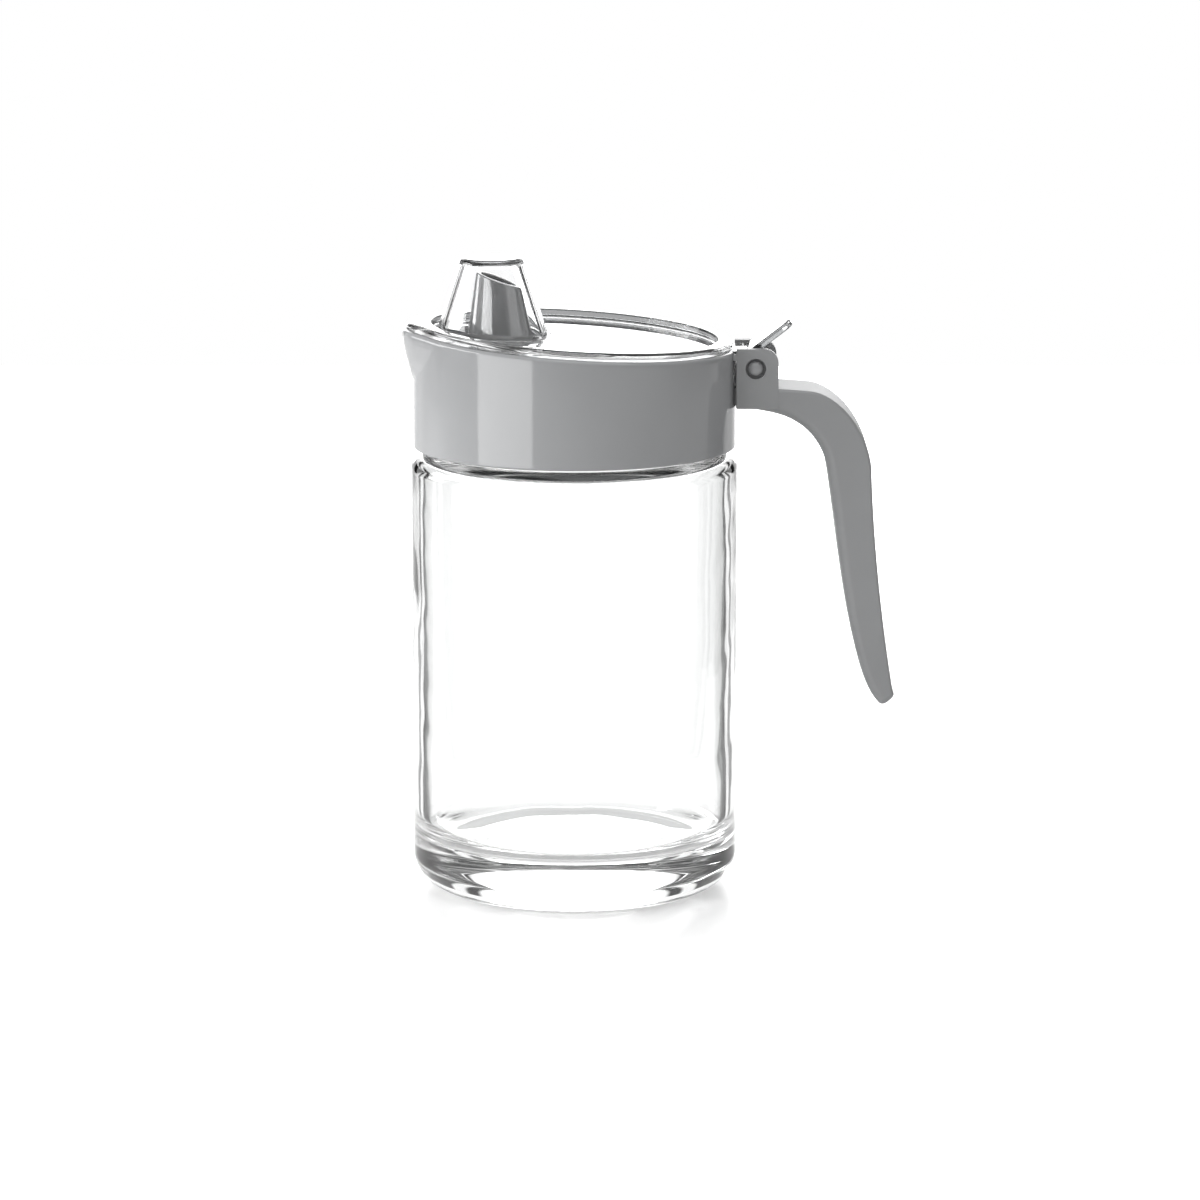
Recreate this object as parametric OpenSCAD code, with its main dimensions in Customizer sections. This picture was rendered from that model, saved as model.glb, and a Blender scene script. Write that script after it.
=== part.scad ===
// Oil dispenser: a glass jar under a screw-on pouring head.
// The head has a glossy collar with a pouring lip, a threaded deck with a drip well,
// a pour spout, a side handle and a clear lid that a thumb lever tips open.
// The origin is on the jar's axis at the foot. +Z is up and +X points to the handle.

/* [Jar] */
// Outer diameter of the glass body
jar_d = 92.4; // [86:0.1:98]
// Height of the glass shoulder above the foot
jar_h = 125.5; // [100:0.5:150]
// Thickness of the glass side wall
glass_wall = 3.4; // [3:0.1:4.4]
// Thickness of the glass base
glass_base = 13; // [6:0.5:15]
// Thickness of the glass shoulder
glass_top = 3; // [2.6:0.1:4]
// Thickness of the glass neck
neck_wall = 4; // [3.6:0.1:4.6]
// Outer radius of the rounded heel
heel_r = 10; // [4:0.5:12]
// Radius of the inner corner between the floor and the side wall
floor_r = 8; // [4:0.5:10]
// Outer radius of the rounded shoulder
shoulder_r = 5.5; // [3:0.1:5.8]
// Radius of the inner corner below the shoulder
shoulder_in_r = 1.8; // [1:0.1:2.6]
// Height of the glass neck above the shoulder
neck_h = 21.6; // [20:0.1:23]
// Radius of the bead round the foot of the neck
neck_bead_r = 1.2; // [0.6:0.1:1.4]

/* [Collar] */
// How far the collar stands in from the glass
collar_in = 0.5; // [0:0.1:1]
// Thickness of the collar wall
collar_wall = 2.4; // [2:0.1:2.6]
// Gap between the glass shoulder and the collar
collar_gap = 0.5; // [0.3:0.1:0.8]
// Height of the slanted rim above the deck, on the jar's axis
rim_h = 7.2; // [7:0.1:9]
// Slant of the rim, down towards the handle, in degrees
rim_tilt = 4.39; // [3.5:0.01:4.6]
// How far the pouring lip reaches past the round collar
lip_reach = 2.8; // [1:0.1:4]
// Radius of the lip seen from above
lip_r = 26.4; // [24:0.1:30]
// Height of the lip's flare below the rim
lip_h = 15.6; // [8:0.1:20]
// Radius on the outer edge of the rim
rim_round = 0.8; // [0.4:0.1:1.2]

/* [Deck and gasket] */
// Thickness of the deck
deck_t = 2; // [1.6:0.1:2.2]
// Thickness of the gasket on the neck
gasket_t = 1.5; // [1:0.1:2]
// Thickness of the deck's skirt
skirt_t = 1.6; // [1.3:0.1:1.8]
// Room between the neck and the deck's skirt, which their threads share
thread_room = 2; // [1.8:0.1:2.4]
// Depth of the drip well below the deck's top
well_depth = 6.1; // [4:0.1:8]
// Radius of the air hole in the deck
vent_r = 1.5; // [1:0.1:3]
// Radius of the drain hole in the drip well
drain_r = 1.2; // [0.8:0.1:1.3]

/* [Spout] */
// Room between the spout and the cap, all round a spout on the cap's own axis
spout_room = 2.15; // [2:0.05:2.6]
// Room between the spout's point and the cap's closed top
spout_head_room = 1.9; // [1.5:0.1:4]
// Distance of the spout's tip from the cap's axis, towards the hinge
spout_shift = 2; // [1.5:0.1:2.2]
// How far the spout's tip leans towards the lip
spout_lean = 3.1; // [2:0.1:4]
// Slant of the spout's mouth in degrees
spout_cut = 23; // [15:1:30]
// Wall of the spout
spout_wall = 1.4; // [1:0.1:1.8]

/* [Lid] */
// Height of the lid's raised border above the rim
border_h = 2.2; // [1.6:0.1:3]
// Width of the lid's raised border
border_w = 4.2; // [3:0.1:5]
// Thickness of the clear panel
panel_t = 1.8; // [1.4:0.1:2]
// Radius of the lid's rounded outer edge
border_round = 1.9; // [1:0.1:2.1]
// Distance of the cap's axis from the collar's round outer face
cap_edge = 22.5; // [21:0.1:24]
// Outer radius of the cap at its top
cap_top_r = 8.7; // [8:0.1:10]
// Outer radius of the cap where it meets the panel
cap_base_r = 15.4; // [14.8:0.1:16]
// Height of the cap's top above the rim on the jar's axis
cap_h = 22.2; // [21.8:0.1:28]
// Wall of the cap
cap_wall = 1.85; // [1.5:0.05:2]
// Thickness of the cap's closed top
cap_top_t = 2; // [1.5:0.1:2.2]
// Thickness of the thumb lever
lever_t = 2; // [1.6:0.1:2.6]
// Length of the thumb lever from the pin
lever_l = 15.6; // [12:0.1:17]
// Rise of the thumb lever in degrees
lever_rise = 37.5; // [34:0.5:42]
// Width of the lever and its knuckle
lever_w = 15.6; // [12:0.1:18]
// Radius of the knuckle round the pin
knuckle_r = 5.2; // [4.6:0.1:5.3]

/* [Handle] */
// Thickness of the handle's ears
ear_t = 2.7; // [2.2:0.1:4]
// Reach of the handle from its root to its outermost point
handle_reach = 43.7; // [38:0.1:55]
// Drop of the handle from its top face to its tip
handle_drop = 91.1; // [75:0.1:100]
// Depth of the handle's root
root_h = 5.8; // [5.6:0.1:7]
// Rounding of the handle's inner corners
grip_round = 3; // [1:0.1:3.4]
// Rounding of the handle's outer corners
edge_round = 1; // [0.5:0.1:1.4]

/* [Hinge and screws] */
// Diameter of the hinge pin
pin_d = 3; // [2.5:0.1:4]
// Radius of the pin's domed head
pin_head_r = 2.1; // [2.05:0.05:2.5]
// Radius of the recess round the pin's head
pin_recess_r = 2.9; // [2.8:0.05:3.4]
// Depth of the pin below the rim's slanted plane
pin_drop = 4.1; // [4:0.1:4.4]
// Radius of the screws' shanks
screw_r = 1.4; // [1.2:0.1:1.6]
// Radius of the screws' heads
screw_head_r = 2.4; // [2.2:0.1:2.6]
// Length of the screws below their heads
screw_l = 11; // [8:0.5:12]
// Distance between the two screws
screw_pitch = 10; // [9:0.5:11]

/* [Clearances] */
// Gap between the lid and the collar's rim
lid_gap = 0.15; // [0.1:0.05:0.3]
// Gap between the lid's dish and the collar's wall
dish_gap = 1.2; // [1.1:0.05:1.6]
// Side gap between the knuckle and each ear
ear_gap = 0.3; // [0.2:0.05:0.5]
// Gap between the knuckle and what it turns past
turn_gap = 0.35; // [0.3:0.05:0.5]
// Radial running clearance of the lid on its pin
pin_fit = 0.05; // [0.02:0.01:0.1]
// Radial clearance of the deck in the collar and the spout in the deck
seat_fit = 0.1; // [0.05:0.01:0.2]
// Radial clearance of the gasket in the skirt
gasket_fit = 0.2; // [0.1:0.05:0.3]
// Radial clearance of the pin in the ears and of the screws in the handle
grip_fit = 0.02; // [0.01:0.01:0.04]
// Room between the drip well and the neck's bore
well_gap = 1.1; // [0.6:0.1:1.5]

/* [Hidden] */
$fn = 96;

// How far a cutting shape runs past the face that it cuts
over = 1;

// Jar
jar_r = jar_d / 2;
neck_top = jar_h + neck_h;

// Collar
collar_r = jar_r - collar_in;
collar_bore = collar_r - collar_wall;
collar_z = jar_h + collar_gap;
lip_c = collar_r + lip_reach - lip_r;
flare_rings = 7;
flare_ease = 0.85;
round_rings = 3;

// Deck and gasket
gasket_top = neck_top + gasket_t;
deck_top = gasket_top + deck_t;
deck_r = collar_bore - seat_fit;
skirt_bore = deck_r - skirt_t;
skirt_drop = neck_h * 0.85;
neck_r = skirt_bore - thread_room;
neck_bore = neck_r - neck_wall;
ledge_t = deck_t * 0.75;
ledge_w = collar_wall * 0.6;

// Slanted plane of the rim
rim_z = deck_top + rim_h;
rim_slope = tan(rim_tilt);

// Lid, in a frame whose plane is the rim's
border_inset = rim_round + lid_gap;
dish_r = collar_bore - dish_gap;
recess_r = collar_r - border_inset - border_w;
cap_x = collar_r - cap_edge;
cap_top = rim_z + cap_h;
cap_foot = rim_z + cap_x * rim_slope;
cap_edge_r = cap_top_t / 2;
cap_slope = (cap_base_r - cap_top_r) / (cap_top - cap_foot);

// Spout: its foot stands in the drip well, with a spigot through the well's floor
spout_r = cap_base_r - cap_wall - spout_room;
spout_tip_r = cap_top_r - cap_wall - spout_room;
spout_x = cap_x - spout_shift - spout_lean;
well_floor = deck_top - well_depth;
well_t = skirt_t * 0.9;
well_r = neck_bore - well_gap - well_t - spout_x;
spout_h = cap_top - cap_top_t - spout_head_room - well_floor;
spout_foot_h = well_depth - spout_wall / 2;
cone_h = spout_h - spout_foot_h;
spigot_r = spout_r - spout_wall;
spigot_l = well_t + spout_wall;
drain_x = spout_x + (well_r + spout_r) / 2;
vent_x = deck_r / 2;

// Hinge: the pin runs along Y through the ears and the knuckle
pin_x = collar_r + knuckle_r;
pin_z = rim_z - pin_x * rim_slope - pin_drop;
ear_r = knuckle_r + turn_gap;
ear_in = lever_w / 2 + ear_gap;
ear_out = ear_in + ear_t;
ear_corner = ear_r * 0.7;
pin_recess = ear_t / 2;
notch_z = pin_z + knuckle_r / 2;
neck_low = notch_z + turn_gap + lid_gap;
neck_up = pin_z + 0.9 * knuckle_r;

// Handle
handle_w = 2 * ear_out;
root_x = collar_r + rim_round;
root_top = pin_z - ear_r;
ear_back = pin_x + ear_r + rim_round;
arm_w = handle_w - 2 * lid_gap;
tab_h = 2 * rim_round;
boss_w = lever_w - 2 * ear_gap;
screw_z = root_top - root_h / 2;
screw_seat = collar_bore - 4 * seat_fit;
screw_head_h = skirt_t;
screw_window_h = screw_head_r * 2.8;
arm_rings = 9;
tip_rings = 3;
tip_round = edge_round * 1.6;
tip_turn = 80;
corner_steps = 4;

// Bezier control points of the handle's two edges, as shares of its reach and drop
outer_edge_shares = [
    [0.034, 0.000], [0.172, 0.000], [0.309, 0.003], [0.446, 0.009],
    [0.641, 0.018], [0.826, 0.134], [0.849, 0.249],
    [0.867, 0.485], [0.922, 0.727], [1.000, 0.952]];
inner_edge_shares = [
    [0.034, 0.063], [0.172, 0.075], [0.277, 0.080], [0.364, 0.108],
    [0.460, 0.134], [0.545, 0.189], [0.565, 0.255],
    [0.634, 0.441], [0.712, 0.902], [0.908, 0.990]];

// Height of the slanted rim's plane at x
function rim_at(x) = rim_z - x * rim_slope;

// Outline of a circle of radius r with a lip of radius s, whose centre is c to the left,
// walked by the direction in which the edge faces
function lipped(r, s, c, count) = [for (i = [0 : count - 1])
    let (a = 360 * i / count)
    s - c * cos(a) > r ? [s * cos(a) - c, s * sin(a)] : [r * cos(a), r * sin(a)]];

// A point of a chain of cubic Bezier curves, u counted in curves
function on_chain(p, u) =
    let (k = min(floor(u), (len(p) - 1) / 3 - 1), t = u - k, q = 3 * k, s = 1 - t)
    p[q] * s * s * s + p[q + 1] * 3 * s * s * t + p[q + 2] * 3 * s * t * t + p[q + 3] * t * t * t;

// Closed skin over rings of points, each ring with as many points, the first ring lowest
module loft(rings) {
    n = len(rings[0]);
    m = len(rings);
    sides = [for (j = [0 : m - 2]) for (i = [0 : n - 1]) for (half = [0, 1])
        let (a = j * n + i, b = j * n + (i + 1) % n)
        half == 0 ? [a, a + n, b] : [b, a + n, b + n]];
    caps = [[for (i = [0 : n - 1]) i], [for (i = [n - 1 : -1 : 0]) (m - 1) * n + i]];
    polyhedron([for (r = rings) for (p = r) p], concat(sides, caps), convexity = 8);
}

// Half section from the axis out to r, with a rounded lower and upper outer corner
module round_section(r, low, high, low_r, high_r) {
    translate([0, low + low_r]) square([r, high - low - low_r - high_r]);
    if (low_r > 0) {
        translate([0, low]) square([r - low_r, low_r]);
        translate([r - low_r, low + low_r]) circle(low_r);
    }
    if (high_r > 0) {
        translate([0, high - high_r]) square([r - high_r, high_r]);
        translate([r - high_r, high - high_r]) circle(high_r);
    }
}

// Ring between two radii and two heights
module ring(outer, inner, low, high) {
    translate([0, 0, low]) difference() {
        cylinder(r = outer, h = high - low);
        translate([0, 0, -over]) cylinder(r = inner, h = high - low + 2 * over);
    }
}

// Block centred on Y
module block(x, z, width, x2, z2) {
    translate([x, -width / 2, z]) cube([x2 - x, width, z2 - z]);
}

// Rod along Y, centred, round the hinge axis
module hinge_rod(r, width) {
    translate([pin_x, width / 2, pin_z]) rotate([90, 0, 0]) cylinder(r = r, h = width);
}

module in_lid_plane() {
    translate([0, 0, rim_z]) rotate([0, rim_tilt, 0]) children();
}

module jar() {
    color([0.86, 0.91, 0.92, 0.35]) rotate_extrude() difference() {
        union() {
            round_section(jar_r, 0, jar_h, heel_r, shoulder_r);
            round_section(neck_r, jar_h - shoulder_r, neck_top, 0, neck_wall / 5);
            translate([neck_r, jar_h + 2 * neck_bead_r]) circle(neck_bead_r);
        }
        round_section(jar_r - glass_wall, glass_base, jar_h - glass_top, floor_r, shoulder_in_r);
        translate([0, jar_h / 2]) square([neck_bore, neck_top]);
    }
}

module neck_gasket() {
    color([0.93, 0.93, 0.92])
        ring(skirt_bore - gasket_fit, neck_bore + gasket_fit, neck_top, gasket_top);
}

module pour_deck() {
    color([0.5, 0.51, 0.52]) difference() {
        union() {
            ring(deck_r, skirt_bore, gasket_top - skirt_drop, gasket_top + over);
            translate([0, 0, gasket_top]) cylinder(r = deck_r, h = deck_t);
            translate([-spout_x, 0, well_floor - well_t])
                cylinder(r = well_r + well_t, h = deck_top - well_floor + well_t);
        }
        translate([-spout_x, 0, well_floor]) cylinder(r = well_r, h = well_depth + over);
        translate([-spout_x, 0, well_floor - well_t - over])
            cylinder(r = spigot_r + seat_fit, h = well_t + 2 * over);
        translate([-drain_x, 0, well_floor - well_t - over])
            cylinder(r = drain_r, h = well_t + 2 * over);
        translate([vent_x, 0, gasket_top - over]) cylinder(r = vent_r, h = deck_t + 2 * over);
        // window in the skirt for the handle screws' heads
        block(skirt_bore - over, screw_z - screw_window_h / 2, screw_pitch + screw_window_h,
            deck_r + over, screw_z + screw_window_h / 2);
    }
}

// Leaning cone of the spout, drawn in by inset, which starts inside the spout's foot
module spout_cone(inset) {
    lean = atan(spout_lean / cone_h);
    sink = spout_r * tan(lean) + spout_wall / 2;
    slope = (spout_r - spout_tip_r) / cone_h;
    foot_r = spout_r - spout_wall / 4 - inset;
    long = cone_h + sink + spout_tip_r;
    translate([spout_lean * sink / cone_h, 0, spout_foot_h - sink]) rotate([0, -lean, 0])
        cylinder(r1 = foot_r, r2 = foot_r - slope * long, h = long);
}

module spout() {
    color([0.5, 0.51, 0.52]) translate([-spout_x, 0, well_floor]) difference() {
        union() {
            cylinder(r = spout_r, h = spout_foot_h);
            translate([0, 0, -spigot_l]) cylinder(r = spigot_r, h = spigot_l + over);
            spout_cone(0);
        }
        spout_cone(spout_wall);
        translate([0, 0, -spigot_l - over])
            cylinder(r = spigot_r - spout_wall, h = spigot_l + spout_foot_h + over);
        translate([-spout_lean - spout_tip_r, 0, spout_h]) rotate([0, spout_cut, 0])
            translate([-2 * spout_r, -spout_r, 0])
                cube([5 * spout_r, 2 * spout_r, 2 * spout_h]);
    }
}

// Outer skin of the collar, from its lower edge up the flare to the rounded slanted rim
module collar_skin() {
    low = collar_z;
    flare_z = rim_at(-lip_c) - lip_h;
    edge = [for (p = lipped(collar_r - rim_round / 2, lip_r - lip_reach - rim_round / 2, lip_c, $fn))
        [p[0], p[1], low]];
    foot = [for (z = [low + rim_round / 2, flare_z])
        [for (p = lipped(collar_r, lip_r - lip_reach, lip_c, $fn)) [p[0], p[1], z]]];
    flare = [for (k = [1 : flare_rings]) let (t = k / flare_rings,
            f = (1 - cos(180 * pow(t, flare_ease))) / 2)
        [for (p = lipped(collar_r, lip_r - lip_reach * (1 - f), lip_c, $fn))
            [p[0], p[1], flare_z + (rim_at(p[0]) - rim_round - flare_z) * t]]];
    rim = [for (k = [1 : round_rings]) let (a = 90 * k / round_rings, d = rim_round * (1 - cos(a)))
        [for (p = lipped(collar_r - d, lip_r - d, lip_c, $fn))
            [p[0], p[1], rim_at(p[0]) - rim_round * (1 - sin(a))]]];
    loft(concat([edge], foot, flare, rim));
}

module collar() {
    color([0.42, 0.43, 0.44]) difference() {
        union() {
            difference() {
                collar_skin();
                translate([0, 0, collar_z - over]) cylinder(r = collar_bore, h = cap_top - collar_z);
            }
            ring(collar_bore + collar_wall / 2, collar_bore - ledge_w, deck_top, deck_top + ledge_t);
            block(screw_seat, root_top - root_h + rim_round, boss_w, root_x, root_top - turn_gap);
        }
        // notch for the lid's neck, and room for its knuckle to turn
        block(collar_bore / 2, notch_z, 2 * ear_in, pin_x, rim_z + over);
        hinge_rod(knuckle_r + turn_gap, 2 * ear_in);
        for (side = [-1, 1]) translate([0, side * screw_pitch / 2, screw_z]) rotate([0, 90, 0]) {
            cylinder(r = screw_r + seat_fit, h = root_x + over);
            cylinder(r = screw_head_r + seat_fit, h = screw_seat);
        }
    }
}

// Section of the handle between an inner and an outer edge point, drawn in by inset
function arm_section(inner, outer, inset) =
    let (l = norm(outer - inner), d = (outer - inner) / l, w = arm_w / 2 - inset,
        r = min(grip_round, l * 0.45), e = min(edge_round, l * 0.3),
        corners = [[r, -w + r, r, 270], [l - e, -w + e, e, 360], [l - e, w - e, e, 450],
            [r, w - r, r, 540]])
    [for (c = corners) for (i = [0 : corner_steps])
        let (a = c[3] - 90 + 90 * i / corner_steps, p = inner + d * (c[0] + c[2] * cos(a)))
        [p[0], -c[1] - c[2] * sin(a), p[1]]];

function edge_point(shares, u) = let (p = on_chain(shares, u))
    [root_x + p[0] * handle_reach, root_top - p[1] * handle_drop];

module handle_arm() {
    curves = (len(outer_edge_shares) - 1) / 3;
    body = [for (k = [0 : curves * arm_rings]) let (u = k / arm_rings)
        arm_section(edge_point(inner_edge_shares, u), edge_point(outer_edge_shares, u), 0)];
    inner = edge_point(inner_edge_shares, curves);
    outer = edge_point(outer_edge_shares, curves);
    across = outer - inner;
    ahead = [across[1], -across[0]] / norm(across);
    tip = [for (k = [1 : tip_rings]) let (a = tip_turn * k / tip_rings, in = tip_round * (1 - cos(a)),
            step = ahead * tip_round * sin(a), shift = across / norm(across) * in)
        arm_section(inner + shift + step, outer - shift + step, in)];
    loft(concat(body, tip));
}

module ear_profile() {
    low = root_top - root_h / 2;
    top = pin_z + ear_r;
    translate([root_x, low]) square([ear_back - root_x - ear_corner, top - low]);
    translate([root_x, low]) square([ear_back - root_x, top - low - ear_corner]);
    translate([ear_back - ear_corner, top - ear_corner]) circle(ear_corner);
}

module handle() {
    color([0.55, 0.56, 0.57]) difference() {
        union() {
            handle_arm();
            block(root_x, root_top - root_h, handle_w, ear_back, root_top);
            for (side = [-1, 1]) translate([0, side * (ear_in + ear_out) / 2 + ear_t / 2, 0])
                rotate([90, 0, 0]) linear_extrude(ear_t) ear_profile();
            for (side = [-1, 1]) translate([collar_bore, side * (ear_in + ear_out) / 2 - ear_t / 2,
                pin_z + ear_r - 2 * tab_h]) cube([root_x + over - collar_bore, ear_t, tab_h]);
        }
        // the root's tabs end just clear of the round collar
        translate([0, 0, collar_z]) cylinder(r = collar_r + seat_fit, h = cap_top - collar_z);
        hinge_rod(pin_d / 2 + grip_fit, handle_w + 2 * over);
        for (side = [-1, 1]) translate([0, side * (ear_out + over), 0])
            hinge_rod(pin_recess_r, 2 * (pin_recess + over));
        for (side = [-1, 1]) translate([0, side * screw_pitch / 2, screw_z]) rotate([0, 90, 0])
            cylinder(r = screw_r + grip_fit, h = screw_seat + screw_l);
    }
}

module handle_screws() {
    color([0.72, 0.73, 0.74]) for (side = [-1, 1])
        translate([screw_seat, side * screw_pitch / 2, screw_z]) rotate([0, 90, 0]) {
            cylinder(r = screw_r, h = screw_l);
            translate([0, 0, -screw_head_h]) cylinder(r = screw_head_r, h = screw_head_h);
        }
}

module hinge_pin() {
    dome_r = pin_head_r * 1.2;
    color([0.45, 0.46, 0.47]) translate([pin_x, pin_recess - ear_out, pin_z]) rotate([-90, 0, 0]) {
        cylinder(r = pin_d / 2, h = handle_w - pin_recess - rim_round / 2);
        intersection() {
            translate([0, 0, -pin_recess]) cylinder(r = pin_head_r, h = pin_recess);
            translate([0, 0, dome_r - pin_recess]) sphere(dome_r);
        }
    }
}

module pin_retainer() {
    color([0.6, 0.61, 0.62]) translate([pin_x, ear_out - pin_recess, pin_z]) rotate([-90, 0, 0])
        ring(pin_recess_r - seat_fit, pin_d / 2 + grip_fit, 0, pin_recess * 0.4);
}

// Plan of the lever from the hinge axis to its rounded end
module lever_plan() {
    r = lever_t;
    translate([0, -lever_w / 2]) square([lever_l - r, lever_w]);
    translate([0, -lever_w / 2 + r]) square([lever_l, lever_w - 2 * r]);
    for (side = [-1, 1]) translate([lever_l - r, side * (lever_w / 2 - r)]) circle(r);
}

// Clear border and dish of the lid, before the recess is cut
module lid_border() {
    in_lid_plane() {
        rings = concat(
            [[for (p = lipped(collar_r - border_inset, lip_r - border_inset, lip_c, $fn))
                [p[0], p[1], lid_gap]]],
            [for (k = [0 : round_rings + 1]) let (a = 90 * k / (round_rings + 1),
                    d = border_inset + border_round * (1 - cos(a)))
                [for (p = lipped(collar_r - d, lip_r - d, lip_c, $fn))
                    [p[0], p[1], border_h - border_round * (1 - sin(a))]]]);
        loft(rings);
        translate([0, 0, -panel_t]) cylinder(r = dish_r, h = panel_t + border_h / 2);
    }
}

module lid() {
    color([0.9, 0.94, 0.95, 0.35]) difference() {
        union() {
            difference() {
                lid_border();
                in_lid_plane() cylinder(r = recess_r, h = border_h + over);
            }
            cap_outside();
            block(recess_r, neck_low, lever_w, pin_x, neck_up);
            hinge_rod(knuckle_r, lever_w);
            translate([pin_x, 0, pin_z]) rotate([0, -lever_rise, 0])
                translate([0, 0, knuckle_r - lever_t - lid_gap])
                    linear_extrude(lever_t) lever_plan();
        }
        cap_inside();
        hinge_rod(pin_d / 2 + pin_fit, lever_w + 2 * over);
    }
}

module cap_outside() {
    h = cap_top - cap_edge_r - cap_foot;
    translate([-cap_x, 0, 0]) {
        translate([0, 0, cap_foot])
            cylinder(r1 = cap_base_r, r2 = cap_top_r + cap_slope * cap_edge_r, h = h);
        translate([0, 0, cap_foot - panel_t / 2]) cylinder(r = cap_base_r, h = panel_t / 2);
        translate([0, 0, cap_top - cap_edge_r]) rotate_extrude()
            round_section(cap_top_r, -cap_edge_r, cap_edge_r, 0, cap_edge_r);
    }
}

module cap_inside() {
    low = cap_foot - panel_t * 3;
    high = cap_top - cap_top_t;
    translate([-cap_x, 0, low]) cylinder(
        r1 = cap_base_r - cap_wall + cap_slope * (cap_foot - low),
        r2 = cap_top_r - cap_wall + cap_slope * cap_top_t, h = high - low);
}

jar();
neck_gasket();
pour_deck();
spout();
collar();
handle();
handle_screws();
hinge_pin();
pin_retainer();
lid();
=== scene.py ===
from math import cos, pi, radians, sin, sqrt, tan

import bmesh
import bpy
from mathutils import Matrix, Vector


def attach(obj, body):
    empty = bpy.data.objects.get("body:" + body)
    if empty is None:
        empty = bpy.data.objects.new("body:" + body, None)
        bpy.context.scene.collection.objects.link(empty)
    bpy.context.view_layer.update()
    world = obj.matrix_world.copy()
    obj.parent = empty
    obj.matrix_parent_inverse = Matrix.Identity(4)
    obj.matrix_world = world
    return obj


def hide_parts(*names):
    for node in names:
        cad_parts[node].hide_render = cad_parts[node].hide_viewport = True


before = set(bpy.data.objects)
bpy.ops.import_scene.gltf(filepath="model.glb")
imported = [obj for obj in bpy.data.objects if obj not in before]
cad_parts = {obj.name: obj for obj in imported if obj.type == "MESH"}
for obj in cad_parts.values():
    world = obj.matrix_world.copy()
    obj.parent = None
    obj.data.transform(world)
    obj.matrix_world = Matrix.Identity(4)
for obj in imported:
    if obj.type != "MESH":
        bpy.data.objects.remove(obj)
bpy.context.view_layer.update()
mm = 0.001  # the tables below are in millimetres, the meshes in metres
tiny = 1e-6  # points closer than this, in metres, become one


# helpers for modelling

def letGo():
    if bpy.context.object and bpy.context.object.mode != "OBJECT":
        bpy.ops.object.mode_set(mode="OBJECT")
    bpy.ops.object.select_all(action="DESELECT")


def pick(obj):
    letGo()
    obj.select_set(True)
    bpy.context.view_layer.objects.active = obj


def rounded(corners, turns=6):
    # corners are (x, z, radius); each radius becomes an arc
    out = []
    for i, (x, z, r) in enumerate(corners):
        here = Vector((x, z))
        if not r:
            out.append((x, z))
            continue
        back = (Vector(corners[i - 1][:2]) - here).normalized()
        ahead = (Vector(corners[(i + 1) % len(corners)][:2]) - here).normalized()
        half = back.angle(ahead) / 2
        centre = here + (back + ahead).normalized() * (r / sin(half))
        first = here + back * (r / tan(half)) - centre
        last = here + ahead * (r / tan(half)) - centre
        span = first.angle(last)
        for k in range(turns + 1):
            t = k / turns
            p = centre + (first * sin((1 - t) * span) + last * sin(t * span)) / sin(span)
            out.append((p.x, p.y))
    return out


def turned(name, profile, at=(0, 0), steps=192):
    # a profile of (radius, height) extruded point by point and spun round its axis, then moved to its place
    letGo()
    bpy.ops.mesh.primitive_plane_add(size=mm)
    obj = bpy.context.object
    obj.name = name
    bpy.ops.object.mode_set(mode="EDIT")
    bpy.ops.mesh.select_all(action="SELECT")
    bpy.ops.mesh.merge(type="CENTER")
    bpy.ops.transform.translate(value=(profile[0][0] * mm, 0, profile[0][1] * mm))
    for a, b in zip(profile, profile[1:]):
        bpy.ops.mesh.extrude_region_move(
            TRANSFORM_OT_translate={"value": ((b[0] - a[0]) * mm, 0, (b[1] - a[1]) * mm)})
    if profile[0][0] > 0:  # a ring: its profile closes on itself
        bpy.ops.mesh.select_all(action="SELECT")
        bpy.ops.mesh.remove_doubles(threshold=tiny)
    bpy.ops.mesh.select_all(action="SELECT")
    bpy.ops.mesh.spin(steps=steps, angle=2 * pi, center=(0, 0, 0), axis=(0, 0, 1))
    bpy.ops.mesh.select_all(action="SELECT")
    bpy.ops.mesh.remove_doubles(threshold=tiny)
    bpy.ops.mesh.normals_make_consistent(inside=False)
    bpy.ops.transform.translate(value=(at[0] * mm, at[1] * mm, 0))
    letGo()
    return obj


def ringed(name, rings, loop=False):
    # a circle extruded once for each ring of points, with flat ends unless it is a loop
    count = len(rings[0])
    letGo()
    bpy.ops.mesh.primitive_circle_add(vertices=count, radius=1)
    obj = bpy.context.object
    obj.name = name
    bpy.ops.object.mode_set(mode="EDIT")
    bpy.ops.mesh.select_all(action="SELECT")
    bm = bmesh.from_edit_mesh(obj.data)
    for v, p in zip(bm.verts, rings[0]):
        v.co = Vector(p) * mm
    if not loop:
        bpy.ops.mesh.edge_face_add()
        bpy.ops.mesh.duplicate()
        bpy.ops.mesh.delete(type="ONLY_FACE")
        bm = bmesh.from_edit_mesh(obj.data)
        fresh = list(bm.verts)[count:]
        for v in fresh:
            v.select = True
        for e in bm.edges:
            e.select = e.verts[0] in fresh and e.verts[1] in fresh
    for ring in rings[1:]:
        bpy.ops.mesh.extrude_edges_move()
        bm = bmesh.from_edit_mesh(obj.data)
        for v, p in zip(list(bm.verts)[-count:], ring):
            v.co = Vector(p) * mm
    if not loop:
        bpy.ops.mesh.edge_face_add()
    bpy.ops.mesh.select_all(action="SELECT")
    bpy.ops.mesh.remove_doubles(threshold=tiny)
    bpy.ops.mesh.normals_make_consistent(inside=False)
    letGo()
    return obj


def settled(obj):
    # its place, turn and scale go into its mesh
    pick(obj)
    bpy.ops.object.transform_apply(location=True, rotation=True, scale=True)


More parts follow.
